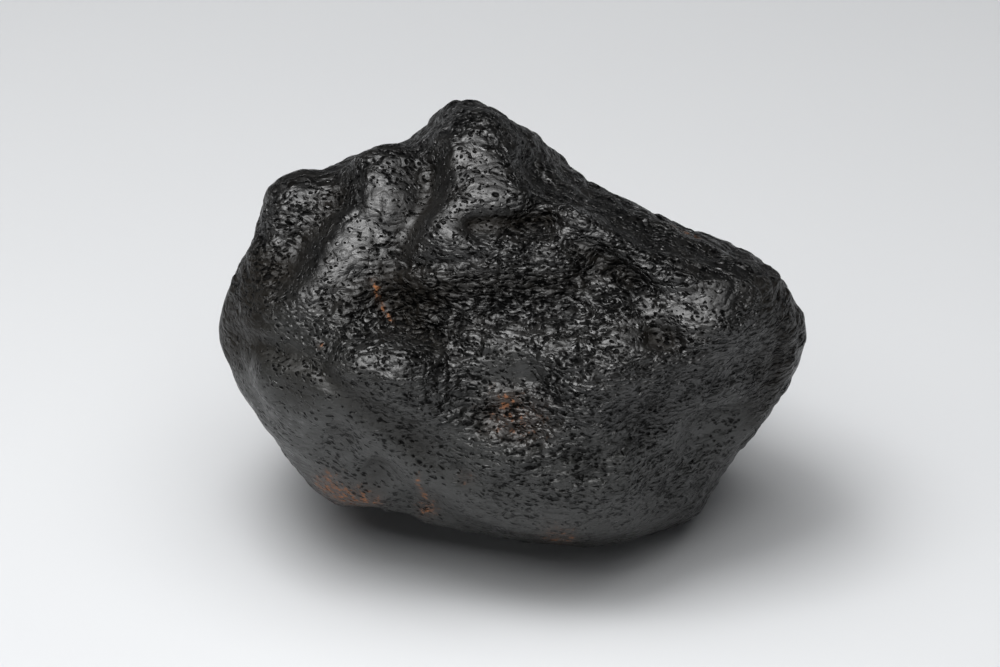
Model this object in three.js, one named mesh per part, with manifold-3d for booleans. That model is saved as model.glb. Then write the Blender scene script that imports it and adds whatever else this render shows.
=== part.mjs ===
// A small chondrite meteorite: one stone with a black fusion crust, in millimetres, +Z up.
// The front faces -Y. It stands on a small flat spot, and the origin is on the ground under the
// middle of the stone.
import * as THREE from 'three';
import { ImprovedNoise } from 'three/addons/math/ImprovedNoise.js';
import { mergeVertices } from 'three/addons/utils/BufferGeometryUtils.js';
import Module from 'manifold-3d';

const { clamp, degToRad, lerp, smoothstep } = THREE.MathUtils;

// The outline and the relief are laid out in a tilted view plane, seen from this far above the
// horizon: across it, up it, and out of it towards the viewer.
const VIEW_ELEVATION = degToRad(29);
const ACROSS = new THREE.Vector3(1, 0, 0);
const UP = new THREE.Vector3(0, Math.sin(VIEW_ELEVATION), Math.cos(VIEW_ELEVATION));
const TOWARD = new THREE.Vector3(0, -Math.cos(VIEW_ELEVATION), Math.sin(VIEW_ELEVATION));

// The stone's reach out of the view plane, to its front and to its back.
const FRONT_DEPTH = 13.4;
const BACK_DEPTH = 13.6;

// How squarely the stone turns from its outline to its front and back, where 2 is an ellipse.
const EDGE_POWER = 2.5;

// The flat spot lies this far below the middle of the stone.
const BASE_DROP = 12.5;

// How softly the broken faces run into each other, and the step over which the surface's
// direction is taken.
const EDGE_SOFTNESS = 0.55;
const FACING_STEP = 0.8;

// How steep the sides of the ridges, lumps and hollows are, where 2 is a bell curve.
const RELIEF_POWER = 2.4;

// The relief fades out over this distance before the outline, and the lumps keep this share there.
const RELIEF_FADE = 3.5;
const RIM_LUMPS = 0.3;

// The mesh grows from an icosahedron whose edges are divided this many times, and its corners are
// spread this often, so that they are evenly far apart.
const MESH_DETAIL = 21;
const SPREADS = 6;

// The surface is looked for between these distances from the middle, halving the gap each time.
const LEAST_RADIUS = 3;
const MOST_RADIUS = 28;
const HALVINGS = 32;

// The outline seen from the front, [across, up], anticlockwise from the right-hand tip.
const OUTLINE_MIDDLE = new THREE.Vector2(0.7, 0.6);
const OUTLINE = [
  [17.7, 0.1], [16.9, 2.0], [15.9, 3.8], [14.4, 4.9], [11.1, 6.3], [8.3, 7.6], [5.3, 9.1],
  [3.5, 10.5], [1.4, 11.9], [-1.0, 13.4], [-2.3, 13.7], [-3.5, 13.0], [-4.5, 11.9], [-5.6, 11.1],
  [-7.7, 10.7], [-9.2, 10.1], [-10.7, 9.2], [-11.9, 8.7], [-12.8, 8.1], [-13.5, 7.2], [-14.1, 5.8],
  [-15.0, 4.2], [-15.8, 2.0], [-16.2, 0.0], [-15.8, -1.5], [-14.1, -4.2], [-12.0, -7.4],
  [-10.6, -8.6], [-9.2, -9.8], [-7.3, -10.0], [-5.6, -10.3], [-4.1, -10.9], [-1.0, -11.5],
  [1.1, -12.1], [3.3, -12.4], [5.4, -12.4], [7.8, -12.0], [10.4, -10.9], [11.6, -9.9],
  [12.6, -7.9], [14.0, -6.3], [15.6, -4.4], [16.7, -2.9], [17.1, -1.7],
].map(([across, up]) => new THREE.Vector2(across, up).sub(OUTLINE_MIDDLE));

// The outline leans in and out of the view plane: how far, and towards which side of it.
const RIM_LEANS = [
  { side: degToRad(-80), lean: 1.2, turns: 1 },
  { side: degToRad(20), lean: 0.9, turns: 2 },
];

// The broken faces. Each looks towards a compass direction, 0 at the front and 90 at the right,
// and this far above the horizon, at this distance from the middle of the stone.
const FACES = [
  { name: 'upper front', compass: 4, elevation: 44, distance: 10.4 },
  { name: 'lower front', compass: 2, elevation: 8, distance: 12.0 },
  { name: 'upper left', compass: -28, elevation: 56, distance: 10.8 },
  { name: 'upper right slope', compass: 100, elevation: 60, distance: 10.8 },
  { name: 'lower left', compass: -22, elevation: -23, distance: 13.0 },
  { name: 'underside front', compass: 4, elevation: -45, distance: 13.2 },
  { name: 'lower right', compass: 40, elevation: -14, distance: 13.4 },
  { name: 'right end', compass: 78, elevation: 6, distance: 17.8 },
  { name: 'left end', compass: -74, elevation: 10, distance: 17.2 },
  { name: 'back', compass: 178, elevation: 14, distance: 11.8 },
  { name: 'back left', compass: -132, elevation: 18, distance: 15.0 },
  { name: 'back right', compass: 136, elevation: -6, distance: 13.4 },
  { name: 'back foot', compass: 168, elevation: -38, distance: 12.4 },
  { name: 'back crown', compass: -170, elevation: 36, distance: 13.2 },
];

// Ridges, lumps, grooves and hollows on the front. Each follows a line through these points of the
// view plane, fades over its width, and rises from the surface or sinks into it.
const FRONT_RELIEF = [
  { name: 'knob', width: 1.7, rise: 0.7, through: [[-11.6, 8.2]] },
  { name: 'left edge', width: 1.2, rise: 0.3, through: [[-12.9, 7.2], [-12.9, 4.6]] },
  { name: 'channel', width: 1.2, rise: -0.75, through: [[-9.0, 8.4], [-11.8, 5.1], [-12.4, 3.3]] },
  { name: 'roll, upper lobe', width: 1.9, rise: 0.7, through: [[-6.5, 8.6], [-6.3, 7.6]] },
  { name: 'roll, lower lobe', width: 2.1, rise: 0.85, through: [[-8.3, 6.0], [-11.0, 3.0]] },
  { name: 'roll crease', width: 0.9, rise: -0.12, through: [[-7.4, 7.7], [-7.6, 4.4]] },
  { name: 'nose groove', width: 0.9, rise: -0.75, through: [[-4.1, 10.4], [-4.3, 7.8], [-6.1, 4.6]] },
  { name: 'nose', width: 2.7, rise: 1.05, through: [[-1.7, 10.2], [-1.0, 8.0]] },
  { name: 'nose foot', width: 1.4, rise: 0.6, through: [[-4.9, 5.1], [-2.8, 5.3]] },
  { name: 'dip behind the nose', width: 0.9, rise: -0.4, through: [[-3.5, 12.0], [-2.1, 12.0]] },
  { name: 'notch', width: 0.8, rise: -0.95, through: [[-1.4, 5.9], [0.4, 6.0], [2.4, 6.4]] },
  { name: 'ridge, left', width: 1.1, rise: 0.75, through: [[3.9, 7.0], [6.9, 5.0], [8.9, 3.6]] },
  { name: 'ridge, right', width: 1.1, rise: 0.7, through: [[9.6, 3.3], [12.0, 2.8], [14.6, 2.4]] },
  { name: 'groove above the ridge', width: 1.0, rise: -0.5, through: [[2.0, 9.6], [4.6, 7.7], [8.0, 5.6]] },
  { name: 'long hollow, left', width: 1.6, rise: -0.85, through: [[-10.6, 0.4], [-8.6, 0.5], [-6.6, 0.9]] },
  { name: 'long hollow, middle', width: 1.6, rise: -0.7, through: [[-2.6, 1.6], [0.6, 1.5], [3.6, 1.9]] },
  { name: 'long hollow, right', width: 1.2, rise: -0.5, through: [[5.6, 3.8], [8.4, 2.6]] },
  { name: 'deep hollow', width: 1.8, rise: -1.1, through: [[-5.8, 1.9], [-4.4, 1.3]] },
  { name: 'curved groove', width: 1.1, rise: -0.65, through: [[-5.6, 1.3], [-4.4, -0.2], [-2.4, -0.8]] },
  { name: 'left bulge', width: 1.9, rise: 0.95, through: [[-7.8, -2.0], [-5.6, -1.9]] },
  { name: 'middle bulge', width: 1.5, rise: 0.4, through: [[0.6, -0.9], [2.4, -0.4]] },
  { name: 'smooth hollow', width: 1.6, rise: -0.7, through: [[-1.8, -3.5], [0.8, -3.0]] },
  { name: 'right bulge', width: 2.1, rise: 0.95, through: [[5.2, -2.2], [8.1, -1.4], [11.9, 0.5]] },
  { name: 'dark pit', width: 0.9, rise: -1.0, through: [[8.9, -0.1], [9.5, -0.2]] },
  { name: 'dip past the right bulge', width: 1.5, rise: -0.5, through: [[12.6, -1.2], [14.6, -0.4]] },
  { name: 'rusty hollow', width: 1.3, rise: -0.5, through: [[0.2, -4.8], [1.4, -4.6]] },
  { name: 'low bulge', width: 1.8, rise: 0.5, through: [[-0.2, -7.4], [1.2, -7.6]] },
  { name: 'low right bulge', width: 1.6, rise: 0.4, through: [[5.2, -6.2], [6.4, -7.6]] },
  { name: 'right arc', width: 1.0, rise: 0.5, through: [[9.3, -6.0], [10.9, -3.9], [14.1, -3.3]] },
  { name: 'right hollow', width: 1.5, rise: -0.7, through: [[11.7, -5.7], [13.0, -5.2]] },
  { name: 'left groove', width: 1.4, rise: -0.8, through: [[-13.0, -0.9], [-6.8, -5.0], [-3.4, -7.3]] },
  { name: 'left break', width: 1.0, rise: 0.55, through: [[-12.8, -2.2], [-9.2, -4.4], [-2.4, -9.0]] },
  { name: 'upper left dimple', width: 1.1, rise: -0.4, through: [[-11.5, -3.7]] },
  { name: 'middle left dimple', width: 1.2, rise: -0.45, through: [[-9.0, -6.1]] },
  { name: 'lower left dimple', width: 1.1, rise: -0.4, through: [[-7.1, -8.1]] },
];

// The same for the back, across and up as the front sees them.
const BACK_RELIEF = [
  { name: 'back thumbprint, high', width: 2.8, rise: -1.2, through: [[-6.0, 6.2], [-3.4, 5.2]] },
  { name: 'back thumbprint, crown', width: 2.0, rise: -0.9, through: [[3.4, 5.8], [5.4, 5.2]] },
  { name: 'back thumbprint, right', width: 2.5, rise: -1.2, through: [[8.6, 0.6], [10.0, 1.6]] },
  { name: 'back thumbprint, left', width: 2.4, rise: -1.1, through: [[-10.6, 1.0], [-9.8, -1.6]] },
  { name: 'back thumbprint, middle', width: 2.1, rise: -0.8, through: [[0.4, -0.6], [2.0, 0.6]] },
  { name: 'back thumbprint, low', width: 2.6, rise: -1.1, through: [[3.0, -5.6], [5.6, -6.2]] },
  { name: 'back thumbprint, low left', width: 2.0, rise: -0.8, through: [[-6.6, -5.8], [-5.2, -6.6]] },
  { name: 'back spine', width: 1.5, rise: 0.7, through: [[1.0, 8.8], [-3.4, -1.6], [-2.2, -6.0]] },
  { name: 'back rib', width: 1.3, rise: 0.6, through: [[-0.6, 3.4], [4.4, 2.6], [6.8, 4.4]] },
];

// Thumbprints and lumps round the ends, each where it looks from the middle of the stone.
const END_RELIEF = [
  { name: 'right end thumbprint', width: 3.4, rise: -1.0, compass: 116, elevation: 6 },
  { name: 'right shoulder thumbprint', width: 3.0, rise: -0.8, compass: 142, elevation: 32 },
  { name: 'right heel lump', width: 2.6, rise: 0.6, compass: 108, elevation: -26 },
  { name: 'left end thumbprint', width: 3.2, rise: -0.9, compass: -114, elevation: 0 },
  { name: 'left shoulder thumbprint', width: 2.6, rise: -0.7, compass: -148, elevation: 18 },
  { name: 'left heel thumbprint', width: 2.6, rise: -0.6, compass: -106, elevation: -36 },
];

// Smaller lumps all over: the distance between them and how far they stand out.
const LUMPS = [
  { spacing: 8.5, rise: 0.9 },
  { spacing: 5.2, rise: 0.6 },
  { spacing: 2.6, rise: 0.3 },
  { spacing: 1.5, rise: 0.14 },
];

// The outward direction that looks towards a compass direction and this far above the horizon.
function lookout({ compass, elevation }) {
  const turn = degToRad(compass);
  const lift = degToRad(elevation);
  return new THREE.Vector3(Math.sin(turn) * Math.cos(lift), -Math.cos(turn) * Math.cos(lift), Math.sin(lift));
}

// How far the outline is from its middle, for a direction in the view plane.
function outlineRadius() {
  const samples = 720;
  const corners = OUTLINE.map(({ x, y }) => new THREE.Vector3(x, y, 0));
  const curve = new THREE.CatmullRomCurve3(corners, true, 'centripetal');
  const polar = curve.getPoints(samples).slice(0, -1).map(({ x, y }) => ({
    angle: Math.atan2(y, x),
    radius: Math.hypot(x, y),
  }));
  polar.sort((a, b) => a.angle - b.angle);
  return (angle) => {
    const next = Math.max(0, polar.findIndex((sample) => sample.angle > angle));
    const after = polar[next];
    const before = polar[(next + polar.length - 1) % polar.length];
    const turn = 2 * Math.PI;
    const span = (after.angle - before.angle + turn) % turn;
    const part = ((angle - before.angle + turn) % turn) / span;
    return lerp(before.radius, after.radius, part);
  };
}

// The distance from a point of the view plane to a line through several points.
function distanceToLine(across, up, through) {
  if (through.length === 1) {
    return Math.hypot(across - through[0][0], up - through[0][1]);
  }
  let nearest = Infinity;
  for (let i = 1; i < through.length; i += 1) {
    const [startAcross, startUp] = through[i - 1];
    const runAcross = through[i][0] - startAcross;
    const runUp = through[i][1] - startUp;
    const reached = (across - startAcross) * runAcross + (up - startUp) * runUp;
    const part = clamp(reached / (runAcross ** 2 + runUp ** 2), 0, 1);
    const missed = Math.hypot(across - startAcross - part * runAcross, up - startUp - part * runUp);
    nearest = Math.min(nearest, missed);
  }
  return nearest;
}

const radiusAt = outlineRadius();
const faces = FACES.map((face) => ({ normal: lookout(face), distance: face.distance }));
const ends = END_RELIEF.map((end) => ({ direction: lookout(end), width: end.width, rise: end.rise }));
const noise = new ImprovedNoise();

// What a ridge or hollow adds at this distance from its line.
function reliefOf({ width, rise }, distance) {
  return rise * Math.exp(-((distance / width) ** RELIEF_POWER));
}

function reliefOn(features, across, up) {
  return features.reduce((sum, feature) => {
    const distance = distanceToLine(across, up, feature.through);
    return sum + reliefOf(feature, distance);
  }, 0);
}

function reliefOnEnds(point) {
  return ends.reduce((sum, end) => {
    const ahead = point.dot(end.direction);
    const distance = point.clone().addScaledVector(end.direction, -Math.max(0, ahead)).length();
    return sum + reliefOf(end, distance);
  }, 0);
}

function lumpsAt(point) {
  return LUMPS.reduce((sum, { spacing, rise }) => {
    const { x, y, z } = point.clone().divideScalar(spacing);
    return sum + rise * noise.noise(x, y, z);
  }, 0);
}

// How far towards the viewer the outline lies, for a direction in the view plane.
function rimAt(angle) {
  return RIM_LEANS.reduce((sum, { side, lean, turns }) => sum + lean * Math.cos(turns * (angle - side)), 0);
}

// How far a point is outside the body that the outline and the depths give.
function outsideBody(across, up, angle, fromRim) {
  const depth = fromRim > 0 ? FRONT_DEPTH : BACK_DEPTH;
  const inPlane = Math.hypot(across, up) / radiusAt(angle);
  const outOfPlane = Math.abs(fromRim) / depth;
  const reach = (inPlane ** EDGE_POWER + outOfPlane ** EDGE_POWER) ** (1 / EDGE_POWER);
  return (reach - 1) * (FRONT_DEPTH + BACK_DEPTH) / 2;
}

// The same for that body cut by its broken faces, with softly rounded edges between them.
function outsideFaces(point, body) {
  const sum = faces.reduce(
    (total, { normal, distance }) => total + Math.exp((point.dot(normal) - distance) / EDGE_SOFTNESS),
    Math.exp(body / EDGE_SOFTNESS),
  );
  return EDGE_SOFTNESS * Math.log(sum);
}

// Where a point is in the view plane, and how far it is towards the viewer from the outline.
function inView(point) {
  const across = point.dot(ACROSS);
  const up = point.dot(UP);
  const angle = Math.atan2(up, across);
  return { across, up, angle, fromRim: point.dot(TOWARD) - rimAt(angle) };
}

// How far a point is outside the stone before its relief: below zero inside it.
function outside(point) {
  const { across, up, angle, fromRim } = inView(point);
  return outsideFaces(point, outsideBody(across, up, angle, fromRim));
}

// Which way the surface faces at a point.
function facing(point) {
  const normal = new THREE.Vector3();
  for (const axis of ['x', 'y', 'z']) {
    const ahead = point.clone();
    const behind = point.clone();
    ahead[axis] += FACING_STEP;
    behind[axis] -= FACING_STEP;
    normal[axis] = outside(ahead) - outside(behind);
  }
  return normal.normalize();
}

// How far the ridges, hollows and lumps stand out at a point.
function reliefAt(point) {
  const { across, up, fromRim } = inView(point);
  const front = smoothstep(fromRim, 0, RELIEF_FADE);
  const back = smoothstep(-fromRim, 0, RELIEF_FADE);
  const drawnAcross = across + OUTLINE_MIDDLE.x;
  const drawnUp = up + OUTLINE_MIDDLE.y;
  return front * reliefOn(FRONT_RELIEF, drawnAcross, drawnUp)
    + back * reliefOn(BACK_RELIEF, drawnAcross, drawnUp) + reliefOnEnds(point)
    + lumpsAt(point) * lerp(RIM_LUMPS, 1, front + back);
}

// The surface point in a direction from the middle of the stone, before its relief.
function surfacePoint(direction) {
  let inner = LEAST_RADIUS;
  let outer = MOST_RADIUS;
  for (let i = 0; i < HALVINGS; i += 1) {
    const middle = (inner + outer) / 2;
    if (outside(direction.clone().multiplyScalar(middle)) < 0) {
      inner = middle;
    } else {
      outer = middle;
    }
  }
  return direction.clone().multiplyScalar(inner);
}

function onRelief(point) {
  return point.clone().addScaledVector(facing(point), reliefAt(point));
}

// A shape with only its corners, each shared by the faces that meet there.
function weld(geometry) {
  geometry.deleteAttribute('normal');
  geometry.deleteAttribute('uv');
  return mergeVertices(geometry, 1e-5);
}

// Moves each corner of the mesh towards the middle of its neighbours and back onto the surface.
function spreadCorners({ attributes: { position }, index }) {
  const sums = Array.from({ length: position.count }, () => new THREE.Vector3());
  const corner = new THREE.Vector3();
  for (let i = 0; i < index.count; i += 3) {
    const triangle = index.array.slice(i, i + 3);
    for (const neighbour of triangle) {
      corner.fromBufferAttribute(position, neighbour);
      triangle.forEach((here) => sums[here].add(corner));
    }
  }
  sums.forEach((sum, i) => position.setXYZ(i, ...surfacePoint(sum.normalize())));
}

function roundStone() {
  const stone = weld(new THREE.IcosahedronGeometry(1, MESH_DETAIL));
  for (let i = 0; i < SPREADS; i += 1) {
    spreadCorners(stone);
  }
  const { position } = stone.attributes;
  const corner = new THREE.Vector3();
  for (let i = 0; i < position.count; i += 1) {
    position.setXYZ(i, ...onRelief(corner.fromBufferAttribute(position, i)));
  }
  return stone;
}

// The ground: a block whose top is the plane that the stone stands on.
function groundBlock() {
  const size = 60;
  return weld(new THREE.BoxGeometry(size, size, size).translate(0, 0, -BASE_DROP - size / 2));
}

const wasm = await Module();
wasm.setup();

function toSolid(geometry) {
  const vertProperties = new Float32Array(geometry.attributes.position.array);
  const triVerts = new Uint32Array(geometry.index.array);
  return new wasm.Manifold(new wasm.Mesh({ numProp: 3, vertProperties, triVerts }));
}

function toGeometry(solid) {
  const { vertProperties, triVerts } = solid.getMesh();
  const geometry = new THREE.BufferGeometry();
  geometry.setAttribute('position', new THREE.BufferAttribute(vertProperties, 3));
  geometry.setIndex(new THREE.BufferAttribute(triVerts, 1));
  return geometry;
}

function meteorite() {
  const geometry = toGeometry(toSolid(roundStone()).subtract(toSolid(groundBlock())));
  geometry.computeBoundingBox();
  const { min, max } = geometry.boundingBox;
  geometry.translate(-(min.x + max.x) / 2, -(min.y + max.y) / 2, -min.z);
  geometry.computeVertexNormals();
  const crust = new THREE.MeshStandardMaterial({ color: 0x1d1b1a, roughness: 0.45, metalness: 0 });
  const mesh = new THREE.Mesh(geometry, crust);
  mesh.name = 'meteorite';
  return mesh;
}

const stone = new THREE.Group();
stone.add(meteorite());

export default stone;
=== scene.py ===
"""The looks of the chondrite meteorite: its fusion crust with wrinkles, pits and rust, in a plain studio."""
import math

import bmesh
import bpy
import numpy as np
from mathutils import Matrix, Vector, noise


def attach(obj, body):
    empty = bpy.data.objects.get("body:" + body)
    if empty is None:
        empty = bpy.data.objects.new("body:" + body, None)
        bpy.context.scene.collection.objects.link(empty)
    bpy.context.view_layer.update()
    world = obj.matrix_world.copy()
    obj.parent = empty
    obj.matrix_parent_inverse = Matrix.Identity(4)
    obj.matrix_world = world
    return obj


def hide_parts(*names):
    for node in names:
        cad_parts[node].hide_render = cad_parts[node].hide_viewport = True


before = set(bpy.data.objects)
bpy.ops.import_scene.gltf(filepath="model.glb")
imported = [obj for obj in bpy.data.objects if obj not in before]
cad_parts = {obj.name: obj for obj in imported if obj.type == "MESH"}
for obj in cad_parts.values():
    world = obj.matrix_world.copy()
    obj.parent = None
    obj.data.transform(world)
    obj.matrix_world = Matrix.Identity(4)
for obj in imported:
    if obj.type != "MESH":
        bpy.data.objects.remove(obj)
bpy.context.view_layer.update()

MM = 0.001

# The camera: a long lens that looks down at the front of the stone.
VIEW_ELEVATION = math.radians(29)
CAMERA_DISTANCE = 510.5 * MM
LENS = 318.9
SENSOR_WIDTH = 36
AIM = Vector((-0.721, -0.406, 12.07)) * MM

RIGHT = Vector((1, 0, 0))
TOWARD = Vector((0, -math.cos(VIEW_ELEVATION), math.sin(VIEW_ELEVATION)))
UP = TOWARD.cross(RIGHT)

# The softboxes, which all face the stone: name, place, width and power.
SOFTBOXES = [
    ("overhead", (-0.02, -0.05, 0.20), 0.28, 0.60),
    ("key", (-0.05, -0.04, 0.19), 0.09, 0.21),
    ("front", (-0.06, -0.30, 0.06), 0.07, 0.08),
]
STUDIO_DARK = (0.020, 0.021, 0.023, 1)

FLOOR_WIDTH = 0.8
FLOOR_DARKER = (0.62, 0.63, 0.645, 1)
FLOOR_PALER = (0.66, 0.67, 0.68, 1)

CRUST_BLACK = (0.0022, 0.0021, 0.0020, 1)
CRUST_WORN = (0.0055, 0.0049, 0.0042, 1)
# Grey dust, also used as painted light on the low bulges.
CRUST_GREY_AND_PAINTED_LIGHT = (0.017, 0.0175, 0.0158, 1)
CRUST_DULL = (0.0085, 0.0066, 0.0044, 1)
RUST_STAIN = (0.030, 0.016, 0.009, 1)
RUST_FLECK = (0.26, 0.10, 0.035, 1)
# Painted shade: the black that the pits and crevices are darkened towards.
PAINTED_SHADE_BLACK = (0.0006, 0.0006, 0.0006, 1)

# The front drawing is in millimetres across and up the camera's picture, from its middle. Each
# feature on it has a name, a width in millimetres, an amount, and the points that it runs through.
# The amounts are millimetres for the relief and shares from 0 to 1 for the other fields.
RELIEF = [
    ("channel beside the knob", 0.7, -0.25, [(-9.6, 7.6), (-11.6, 5.6), (-12.6, 3.6)]),
    ("roll crease", 0.3, -0.12, [(-7.0, 7.6), (-7.2, 6.0), (-6.9, 4.6)]),
    ("nose groove", 0.5, -0.25, [(-4.1, 9.4), (-4.3, 7.7), (-5.9, 4.9)]),
    ("notch", 0.5, -0.32, [(-1.4, 6.3), (0.4, 6.3), (2.6, 6.6)]),
    ("foot edge", 0.4, -0.3, [(-5.6, 3.9), (-3.2, 3.9), (-1.2, 4.4)]),
    ("roll foot", 0.5, -0.3, [(-6.4, 3.6), (-8.2, 3.3), (-10.2, 1.6)]),
    ("ridge", 0.5, 0.22, [(3.9, 7.0), (6.9, 5.2), (8.9, 3.4), (12.0, 2.8), (15.9, 2.9)]),
    ("under the ridge", 0.5, -0.3, [(4.4, 5.3), (6.6, 4.1), (8.6, 2.5)]),
    ("dark hollow", 0.8, -0.3, [(-5.6, 2.6), (-4.4, 1.8)]),
    ("curved groove", 0.6, -0.25, [(-6.2, 2.2), (-5.4, 0.6), (-3.6, -0.4)]),
    ("left break", 0.5, -0.25, [(-15.4, 0.0), (-10.6, -1.9), (-7.4, -4.9), (-4.2, -7.0), (-1.4, -8.8)]),
    ("dark pit", 0.7, -0.15, [(9.0, -0.3), (9.6, -0.3)]),
    ("pit under the ridge", 0.5, -0.3, [(5.8, 4.2), (8.0, 2.9)]),
    ("rusty hollow rim", 0.5, 0.2, [(-0.9, -3.9), (0.2, -3.4), (1.9, -3.6)]),
    ("crack", 0.25, -0.18, [(16.2, 2.9), (16.0, 1.2), (16.1, -0.2), (15.9, -1.6)]),
    ("chip", 0.5, -0.25, [(17.6, -0.3), (17.4, -0.8)]),
    ("upper left dimple", 0.8, -0.22, [(-12.2, -3.0), (-11.5, -3.4)]),
    ("middle left dimple", 0.8, -0.2, [(-9.2, -5.6), (-8.7, -5.9)]),
    ("lower left dimple", 0.7, -0.2, [(-7.1, -7.9)]),
    ("lump under the rusty hollow", 0.9, 0.35, [(-0.4, -6.4), (1.0, -7.4)]),
    ("lower lump", 0.8, 0.3, [(2.6, -8.4), (3.6, -8.8)]),
    ("lower right lump", 1.0, 0.3, [(5.6, -5.4), (7.2, -6.4)]),
]
SMOOTH = [
    ("knob", 1.7, 0.7, [(-11.6, 8.2)]),
    ("roll", 2.2, 0.78, [(-6.6, 8.4), (-7.4, 6.4), (-10.6, 4.0)]),
    ("nose", 2.4, 0.78, [(-1.9, 9.4), (-1.2, 8.0), (-3.8, 5.9)]),
    ("lower left face", 4.4, 1.0, [(-13.4, -2.9), (-10.4, -6.0), (-6.4, -8.6)]),
    ("bottom band", 1.9, 0.75, [(-3.8, -10.4), (2.6, -11.6), (8.6, -11.0)]),
    ("lower right hollow", 1.7, 0.9, [(11.6, -5.9), (13.2, -5.2)]),
    ("smooth patch", 1.4, 0.8, [(-0.4, -2.2), (1.0, -2.2)]),
    ("left bulge", 1.3, 0.4, [(-7.2, -1.8), (-5.8, -1.8)]),
    ("right bulge", 1.5, 0.6, [(6.4, -0.6), (10.4, 1.4), (13.6, 2.0)]),
    ("slope", 2.6, 0.15, [(2.0, 9.4), (7.0, 6.4), (13.6, 3.9)]),
]
# A grey dusty tone on the lower faces. On the low bulges it is painted light, lifting the colour where
# glints would be.
GREY_AND_PAINTED_LIGHT = [
    ("lower left face", 4.6, 1.0, [(-13.4, -2.9), (-10.4, -6.0), (-6.4, -8.6)]),
    ("bottom band", 2.1, 0.8, [(-3.8, -10.4), (2.6, -11.8), (8.6, -11.2)]),
    ("lower right hollow", 2.0, 0.8, [(11.6, -5.9), (13.2, -5.2)]),
    ("smooth patch", 1.6, 0.5, [(-0.4, -2.2), (1.0, -2.2)]),
    ("low bulges", 2.3, 0.8, [(-0.8, -7.2), (1.6, -8.2), (6.8, -7.6)]),
    ("right face", 2.0, 0.3, [(9.6, -7.4), (11.4, -8.6)]),
]
RUST = [
    ("rusty hollow", 1.3, 0.6, [(0.2, -4.6), (1.4, -5.0)]),
    ("rusty hollow rim", 0.4, 0.7, [(0.2, -3.8), (0.9, -3.7)]),
    ("rust under the left foot", 0.9, 1.0, [(-10.0, -8.8), (-9.0, -9.5), (-7.6, -9.8)]),
    ("rust at the foot", 0.6, 1.0, [(-4.2, -10.1)]),
    ("rust at the base", 0.7, 0.8, [(3.0, -11.8), (3.8, -11.9)]),
    ("rust spot", 0.5, 0.4, [(-1.9, -8.4)]),
    ("rusty thread", 0.16, 1.0, [(-7.3, 3.2), (-6.8, 1.5), (-6.2, 0.7)]),
    ("rust fleck", 0.2, 0.9, [(-10.3, -0.7)]),
    ("rusty crack", 0.14, 1.0, [(-4.7, -8.1), (-4.7, -8.7), (-4.3, -9.4)]),
]
# Painted shade: these hollows, grooves, dimples and both ends get a dimmer reflection, on a rougher crust
# with a brown tint.
DULL_AND_SHADED = [
    ("right end", 1.8, 0.9, [(16.6, 2.4), (17.0, -0.6), (15.6, -4.0)]),
    ("left end", 1.7, 1.0, [(-14.0, 3.4), (-15.0, 1.2), (-15.6, -0.6)]),
    ("channel", 0.7, 0.5, [(-9.4, 8.0), (-11.6, 5.4), (-12.4, 3.6)]),
    ("nose groove", 0.5, 0.5, [(-4.1, 9.4), (-4.3, 7.7), (-5.9, 4.9)]),
    ("notch", 0.45, 1.0, [(-1.4, 6.4), (0.6, 6.4), (2.6, 6.7)]),
    ("dark hollow", 1.4, 0.9, [(-5.9, 2.7), (-4.2, 2.0)]),
    ("curved groove", 0.6, 0.6, [(-6.2, 2.2), (-5.4, 0.6), (-3.6, -0.4)]),
    ("hollow under the nose", 0.9, 0.5, [(-2.6, 2.8), (0.8, 2.8), (4.6, 3.0)]),
    ("hollow under the roll", 0.8, 0.5, [(-6.6, 3.0), (-9.2, 1.7)]),
    ("hollow under the ridge", 0.6, 0.6, [(4.6, 4.8), (7.4, 3.2)]),
    ("dark pit", 0.6, 0.8, [(8.8, -0.2), (9.7, -0.3)]),
    ("left groove", 0.9, 0.5, [(-14.0, -0.6), (-10.2, -2.2), (-7.0, -4.6), (-4.4, -6.4)]),
    ("upper left dimple", 0.9, 0.5, [(-12.2, -3.0), (-11.5, -3.4)]),
    ("middle left dimple", 0.9, 0.45, [(-9.2, -5.6), (-8.7, -5.9)]),
    ("lower left dimple", 0.8, 0.45, [(-7.1, -7.9)]),
]

# How steep the sides of the features are, where 2 is a bell curve.
FEATURE_POWER = 2.4

# The drawing covers what faces the camera. It fades in between these, where 0 is side on.
DRAWING_STARTS = -0.05
DRAWING_WHOLE = 0.25

# The mesh is divided this many times, and smoothed this often after each.
DIVISIONS = 2
SMOOTHINGS = 2

# Corners of the mesh that are nearer than this are one.
SAME_PLACE = 0.001 * MM

# The noise vectors start from this seed. Without one they would differ from run to run.
NOISE_SEED = 1

# The relief keeps clear of the flat spot: it grows to its full height over this height above the ground.
REST_HEIGHT = 0.9 * MM

# The lumps of the crust are wider along the ground than they are tall, and reach this far from
# their middles, as a share of their spacing.
LUMP_STRETCH = (1.25, 1.25, 0.85)
LUMP_REACH = 0.75

# The material's domes fall away from their middles this steeply, and its spots fade out between
# these shares of their radius.
DOME_STEEPNESS = 1.4
SPOT_EDGE = (0.35, 1.1)

# The numbers of a Mix node's two colour inputs and of its colour output.
FIRST_COLOUR = 6
SECOND_COLOUR = 7
MIXED_COLOUR = 2


def ramp(values, low, high):
    """0 below low, 1 above high and a smooth step between them."""
    part = np.clip((values - low) / (high - low), 0, 1)
    return part * part * (3 - 2 * part)


def to_drawing(points):
    """Where points fall in the front drawing, in millimetres across and up."""
    seen = points - np.array(AIM + TOWARD * CAMERA_DISTANCE)
    ahead = -seen @ np.array(TOWARD)
    across_up = np.stack([seen @ np.array(RIGHT), seen @ np.array(UP)], axis=1)
    return across_up / ahead[:, None] * CAMERA_DISTANCE / MM


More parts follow.
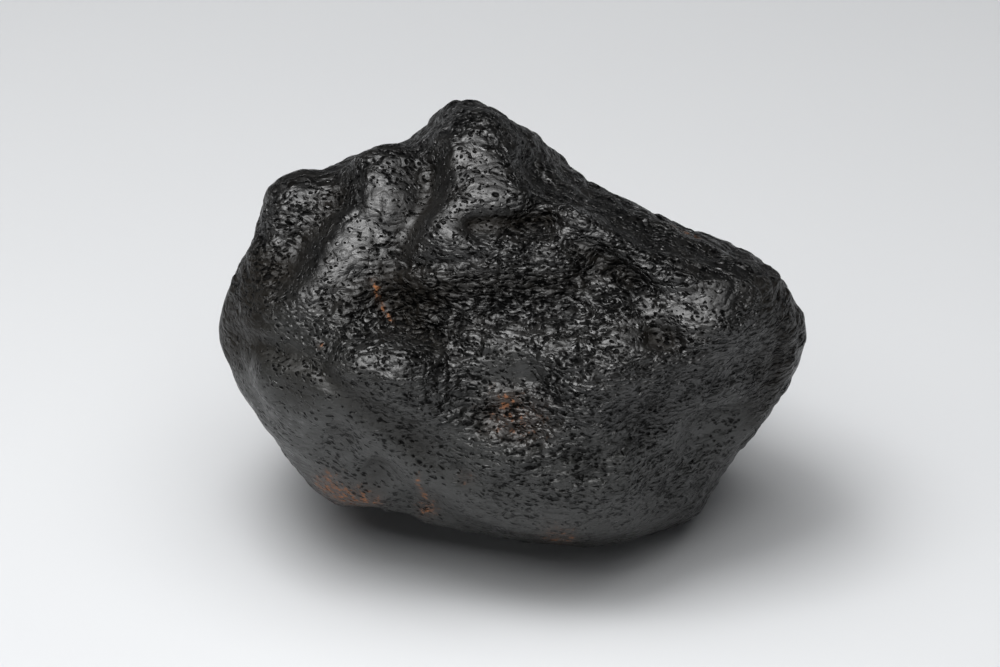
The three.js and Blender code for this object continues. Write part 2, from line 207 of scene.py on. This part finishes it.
def line_distance(drawn, through):
    """How far drawn points are from a line through several points."""
    corners = np.array(through, float)
    if len(corners) == 1:
        return np.linalg.norm(drawn - corners[0], axis=1)
    nearest = np.full(len(drawn), np.inf)
    for start, end in zip(corners[:-1], corners[1:]):
        run = end - start
        part = np.clip((drawn - start) @ run / (run @ run), 0, 1)
        missed = np.linalg.norm(drawn - start - part[:, None] * run, axis=1)
        nearest = np.minimum(nearest, missed)
    return nearest


def drawn_field(drawn, features):
    """The sum of the features at the drawn points, each fading over its width from its line."""
    total = np.zeros(len(drawn))
    for _name, width, amount, through in features:
        total += amount * np.exp(-(line_distance(drawn, through) / width) ** FEATURE_POWER)
    return total


def noise_at(points, size, octaves=1, shift=0.0):
    """Noise about 0 at each point, its lumps about size millimetres apart."""
    scaled = points / (size * MM) + shift
    return np.array([noise.fractal(p, 1.0, 2.0, octaves) for p in scaled.tolist()])


def warped(points, size, amount):
    """The points, each pushed about by up to that many millimetres."""
    noise.seed_set(NOISE_SEED)
    pushes = [noise.noise_vector(p)[:] for p in (points / (size * MM)).tolist()]
    return points + np.array(pushes) * amount * MM


def lumps_at(points, size, shift=0.0):
    """Rounded lumps side by side: 1 on top of each and 0 in the creases between them."""
    scaled = points / (np.array(LUMP_STRETCH) * size * MM) + shift
    nearest = np.array([noise.voronoi(p)[0][0] for p in scaled.tolist()])
    return np.clip(1 - (nearest / LUMP_REACH) ** 2, 0, 1)


def pits_at(points, spacing, radius, share):
    """1 in the middle of scattered pits and 0 outside them. Only that share of the spots has one."""
    depths = []
    for p in (points / (spacing * MM)).tolist():
        distances, spots = noise.voronoi(p)
        chance = noise.cell(spots[0] * 7.3) * 0.5 + 0.5
        depths.append(max(0.0, 1 - distances[0] * spacing / radius) if chance < share else 0.0)
    return ramp(np.array(depths), 0, 1)


def fine_mesh(node):
    """The node's mesh, divided and smoothed, as a mesh of its own."""
    bm = bmesh.new()
    bm.from_mesh(node.data)
    bmesh.ops.remove_doubles(bm, verts=bm.verts, dist=SAME_PLACE)
    for _ in range(DIVISIONS):
        bmesh.ops.subdivide_edges(bm, edges=bm.edges[:], cuts=1, use_grid_fill=True)
        bmesh.ops.triangulate(bm, faces=bm.faces[:])
        for _ in range(SMOOTHINGS):
            bmesh.ops.smooth_vert(
                bm, verts=bm.verts, factor=0.5, use_axis_x=True, use_axis_y=True, use_axis_z=True
            )
    mesh = bpy.data.meshes.new("meteorite_crust")
    bm.to_mesh(mesh)
    bm.free()
    return mesh


def add_field(mesh, name, values):
    """Keeps a number for each corner of the mesh, for the material to read."""
    mesh.attributes.new(name, "FLOAT", "POINT").data.foreach_set("value", values.astype(np.float32))


def sculpt(mesh):
    """Raises the crust's relief on the mesh, and keeps its fields for the material."""
    points = np.empty(len(mesh.vertices) * 3)
    mesh.vertices.foreach_get("co", points)
    points = points.reshape(-1, 3)
    normals = np.array([v.normal[:] for v in mesh.vertices])
    drawn = to_drawing(points)
    front = ramp(normals @ np.array(TOWARD), DRAWING_STARTS, DRAWING_WHOLE)

    def field(features, elsewhere):
        """A field from 0 to 1: the drawn features on the front, and the other values elsewhere."""
        return front * np.clip(drawn_field(drawn, features), 0, 1) + (1 - front) * elsewhere

    smooth = field(SMOOTH, ramp(noise_at(points, 7.0, shift=3.1), 0.0, 0.35))
    rust = field(RUST, ramp(noise_at(points, 5.0, shift=11.7), 0.45, 0.7))
    # Painted shade in the hollows and at the ends, with a dull brown tint.
    dull_and_shade = field(DULL_AND_SHADED, ramp(noise_at(points, 6.0, shift=17.3), 0.1, 0.5) * 0.6)
    # Grey dust on the lower faces, and painted light on the low bulges.
    grey_and_painted_light = field(GREY_AND_PAINTED_LIGHT, 0.5 * smooth)
    rough = 1 - smooth

    def height(on_smooth, more_on_rough):
        """A height in millimetres, which grows with the roughness of the crust."""
        return on_smooth + more_on_rough * rough

    crooked = warped(points, 1.6, 0.5)
    relief = front * drawn_field(drawn, RELIEF)
    relief += 0.09 * noise_at(points, 2.6, octaves=2, shift=5.9)
    relief += height(0.02, 0.17) * (lumps_at(crooked, 1.15) - 0.5)
    relief += height(0.01, 0.06) * (lumps_at(crooked, 0.65, shift=4.4) - 0.5)
    relief += height(0.01, 0.05) * noise_at(points, 0.62, octaves=2, shift=9.1)
    relief -= 0.10 * pits_at(crooked, 1.9, 0.36, 0.35)
    relief *= ramp(points[:, 2], 0, REST_HEIGHT)

    points += normals * (relief * MM)[:, None]
    mesh.vertices.foreach_set("co", points.ravel())
    mesh.update()
    mesh.shade_smooth()
    add_field(mesh, "rough", rough)
    add_field(mesh, "rust", rust)
    add_field(mesh, "dull_and_shade", dull_and_shade)
    add_field(mesh, "grey_and_painted_light", grey_and_painted_light)


class Graph:
    """Adds nodes to a material. A socket or a number may be given for any input."""

    def __init__(self, material):
        material.use_nodes = True
        self.tree = material.node_tree
        self.shader = self.tree.nodes["Principled BSDF"]

    def link(self, value, socket):
        if isinstance(value, bpy.types.NodeSocket):
            self.tree.links.new(value, socket)
        else:
            socket.default_value = value

    def add(self, kind, inputs, **settings):
        node = self.tree.nodes.new(kind)
        for key, value in settings.items():
            setattr(node, key, value)
        for key, value in inputs.items():
            self.link(value, node.inputs[key])
        return node

    def math(self, operation, first, second):
        return self.add("ShaderNodeMath", {0: first, 1: second}, operation=operation).outputs[0]

    def remap(self, value, low, high, to_low=0.0, to_high=1.0):
        """A smooth step from one value to the other, between low and high."""
        node = self.add(
            "ShaderNodeMapRange",
            {"Value": value, "From Min": low, "From Max": high, "To Min": to_low, "To Max": to_high},
            interpolation_type="SMOOTHSTEP",
        )
        return node.outputs["Result"]

    def warp(self, vector, scale, amount):
        """The vector, pushed about by up to the amount."""
        pushes = self.add("ShaderNodeTexNoise", {"Vector": vector, "Scale": scale, "Detail": 1.0})
        centred = self.add(
            "ShaderNodeVectorMath", {0: pushes.outputs["Color"], 1: (0.5, 0.5, 0.5)}, operation="SUBTRACT"
        )
        moved = self.add(
            "ShaderNodeVectorMath",
            {0: centred.outputs[0], 1: (amount, amount, amount), 2: vector},
            operation="MULTIPLY_ADD",
        )
        return moved.outputs[0]

    def field(self, name):
        """One of the mesh's fields."""
        return self.add("ShaderNodeAttribute", {}, attribute_name=name).outputs["Fac"]

    def noise(self, vector, scale, detail=2.0, roughness=0.5):
        node = self.add(
            "ShaderNodeTexNoise",
            {"Vector": vector, "Scale": scale, "Detail": detail, "Roughness": roughness},
        )
        return node.outputs["Fac"]

    def cells(self, vector, scale):
        """Scattered points, with the distance to the nearest one and a random colour for each."""
        return self.add("ShaderNodeTexVoronoi", {"Vector": vector, "Scale": scale}, feature="F1")

    def mix(self, share, first, second):
        """The first colour, with that share of the second."""
        node = self.add("ShaderNodeMix", {"Factor": share}, data_type="RGBA")
        self.link(first, node.inputs[FIRST_COLOUR])
        self.link(second, node.inputs[SECOND_COLOUR])
        return node.outputs[MIXED_COLOUR]


def millimetres(graph, stretch=(1, 1, 1), lean=0.0):
    """The place on the object in millimetres, with patterns wider where stretched, and leaning over."""
    place = graph.add("ShaderNodeTexCoord", {}).outputs["Object"]
    turned = graph.add(
        "ShaderNodeMapping",
        {"Vector": place, "Rotation": (0, lean, 0), "Scale": tuple(MM * wide for wide in stretch)},
        vector_type="TEXTURE",
    )
    return turned.outputs["Vector"]


def spots(graph, place, scale, least, most, growth=1.0):
    """0 in the middle of scattered spots of several sizes, 1 outside them. They grow by the growth."""
    cells = graph.cells(place, scale)
    chance = graph.add("ShaderNodeSeparateColor", {"Color": cells.outputs["Color"]}).outputs[0]
    radius = graph.math("MULTIPLY", graph.remap(chance, 0.0, 1.0, least, most), growth)
    return graph.remap(graph.math("DIVIDE", cells.outputs["Distance"], radius), *SPOT_EDGE)


def domes(graph, place, scale):
    """Rounded lumps side by side, 1 on top of each and about 0 in the creases between them."""
    out = graph.math("MULTIPLY", graph.cells(place, scale).outputs["Distance"], DOME_STEEPNESS)
    return graph.math("SUBTRACT", 1.0, graph.math("MULTIPLY", out, out))


def crust_material():
    """The fusion crust. The scale of a pattern is how many of its parts fit in a millimetre."""
    material = bpy.data.materials.new("fusion_crust")
    graph = Graph(material)
    place = millimetres(graph)
    crooked = graph.warp(millimetres(graph, (1.4, 1.4, 0.75)), 1.1, 0.5)
    leaning = graph.warp(millimetres(graph, (1.5, 1.1, 0.85), math.radians(38)), 1.7, 0.5)
    rough = graph.field("rough")
    rust = graph.field("rust")
    dull_and_shade = graph.field("dull_and_shade")
    grey_and_painted_light = graph.field("grey_and_painted_light")

    # Pits are 0 and the crust between them is 1: small ones in leaning rows, a few wide ones, and
    # crooked crevices where the crust is rough. They crowd together in some places.
    crowding = graph.noise(place, 0.45)
    growth = graph.remap(crowding, 0.3, 0.65, 0.55, 1.1)
    growth = graph.math("ADD", growth, graph.math("MULTIPLY", grey_and_painted_light, 0.15))
    small_pits = spots(graph, leaning, 3.3, 0.10, 0.50, growth)
    wide_pits = spots(graph, crooked, 1.5, 0.01, 0.22)
    crevice_reach = graph.math(
        "ADD",
        graph.remap(rough, 0.0, 1.0, 0.24, 0.35),
        graph.remap(crowding, 0.3, 0.7, -0.05, 0.05),
    )
    winding = graph.math("SUBTRACT", graph.noise(crooked, 3.6), crevice_reach)
    crevices = graph.remap(winding, 0.0, 0.14)
    pits = graph.math("MULTIPLY", graph.math("MULTIPLY", small_pits, wide_pits), crevices)
    beads = graph.math("SUBTRACT", 1.0, spots(graph, crooked, 1.9, 0.05, 0.44))
    cobbles = graph.noise(crooked, 0.9, 3.0, 0.55)
    grain = graph.noise(place, 8.0, 1.0)
    blotches = graph.noise(place, 0.55, 3.0, 0.6)

    # The heights are in millimetres: each pattern with its height on smooth and on rough crust.
    height = graph.math("MULTIPLY", grain, 0.015)
    for pattern, on_smooth, on_rough in (
        (cobbles, 0.10, 0.52),
        (domes(graph, crooked, 2.3), 0.02, 0.10),
        (pits, 0.09, 0.13),
        (beads, 0.02, 0.13),
    ):
        raised = graph.math("MULTIPLY", pattern, graph.remap(rough, 0.0, 1.0, on_smooth, on_rough))
        height = graph.math("ADD", height, raised)
    bump = graph.add("ShaderNodeBump", {"Strength": 1.0, "Distance": MM, "Height": height})
    graph.link(bump.outputs["Normal"], graph.shader.inputs["Normal"])

    # Painted shade: little light reaches into the pits and the low places, so the colour there is darkened
    # towards black and the reflection is dimmed.
    painted_crease_shade = graph.remap(cobbles, 0.32, 0.52, graph.remap(rough, 0.0, 1.0, 1.0, 0.6), 1.0)
    painted_pit_shade = graph.math("MULTIPLY", graph.remap(pits, 0.05, 0.75, 0.09, 1.0), painted_crease_shade)
    # The painted shade in the hollows and at the ends dims the reflection further.
    painted_shade_in_reflection = graph.math("MULTIPLY", painted_pit_shade, graph.remap(dull_and_shade, 0.0, 1.0, 1.0, 0.4))
    graph.link(painted_shade_in_reflection, graph.shader.inputs["Specular Tint"])

    # Rust stains the crust, and comes through it in flecks.
    patchy = graph.math("ADD", graph.noise(place, 2.8, 3.0, 0.7), graph.math("MULTIPLY", rust, 0.12))
    flecks = graph.math("MULTIPLY", rust, graph.remap(patchy, 0.60, 0.74))
    colour = graph.mix(graph.remap(blotches, 0.35, 0.7), CRUST_BLACK, CRUST_WORN)
    for share, tint in (
        (graph.math("MULTIPLY", grey_and_painted_light, 0.9), CRUST_GREY_AND_PAINTED_LIGHT),
        (graph.math("MULTIPLY", dull_and_shade, 0.8), CRUST_DULL),
        (graph.math("MULTIPLY", rust, 0.7), RUST_STAIN),
        (flecks, RUST_FLECK),
    ):
        colour = graph.mix(share, colour, tint)
    # Painted shade: the pits and crevices are darkened towards black.
    graph.link(graph.mix(painted_pit_shade, PAINTED_SHADE_BLACK, colour), graph.shader.inputs["Base Color"])

    satin = graph.remap(graph.noise(place, 1.7, 3.0), 0.3, 0.7, 0.32, 0.46)
    for pattern, rougher in ((grey_and_painted_light, 0.08), (dull_and_shade, 0.10), (beads, -0.18), (flecks, 0.35)):
        satin = graph.math("ADD", satin, graph.math("MULTIPLY", pattern, rougher))
    graph.link(satin, graph.shader.inputs["Roughness"])
    graph.shader.inputs["IOR"].default_value = 1.6
    return material


def make_stone(node):
    mesh = fine_mesh(node)
    sculpt(mesh)
    mesh.materials.append(crust_material())
    piece = bpy.data.objects.new("fusion_crusted_stone", mesh)
    bpy.context.scene.collection.objects.link(piece)
    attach(piece, "root")
    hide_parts("meteorite")


def make_floor():
    bm = bmesh.new()
    bmesh.ops.create_grid(bm, x_segments=1, y_segments=1, size=FLOOR_WIDTH / 2)
    mesh = bpy.data.meshes.new("floor")
    bm.to_mesh(mesh)
    bm.free()
    material = bpy.data.materials.new("pale_floor")
    graph = Graph(material)
    pale = graph.mix(graph.noise(millimetres(graph), 0.02), FLOOR_DARKER, FLOOR_PALER)
    graph.link(pale, graph.shader.inputs["Base Color"])
    graph.shader.inputs["Roughness"].default_value = 0.6
    mesh.materials.append(material)
    floor = bpy.data.objects.new("floor", mesh)
    bpy.context.scene.collection.objects.link(floor)


def make_softbox(name, place, width, power):
    light = bpy.data.lights.new(name, "AREA")
    light.size = width
    light.energy = power
    lamp = bpy.data.objects.new(name, light)
    bpy.context.scene.collection.objects.link(lamp)
    lamp.location = place
    lamp.rotation_euler = (AIM - Vector(place)).to_track_quat("-Z", "Y").to_euler()


def make_world():
    world = bpy.data.worlds.new("studio")
    world.use_nodes = True
    world.node_tree.nodes["Background"].inputs["Color"].default_value = STUDIO_DARK
    bpy.context.scene.world = world


def make_camera():
    camera = bpy.data.cameras.new("camera")
    camera.sensor_width = SENSOR_WIDTH
    camera.lens = LENS
    camera.clip_start = 0.01
    camera.clip_end = 10
    holder = bpy.data.objects.new("camera", camera)
    bpy.context.scene.collection.objects.link(holder)
    turned = Matrix((RIGHT, UP, TOWARD)).transposed().to_4x4()
    holder.matrix_world = Matrix.Translation(AIM + TOWARD * CAMERA_DISTANCE) @ turned
    bpy.context.scene.camera = holder


make_stone(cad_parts["meteorite"])
make_floor()
for softbox in SOFTBOXES:
    make_softbox(*softbox)
make_world()
make_camera()
bpy.context.scene.view_settings.view_transform = "Standard"
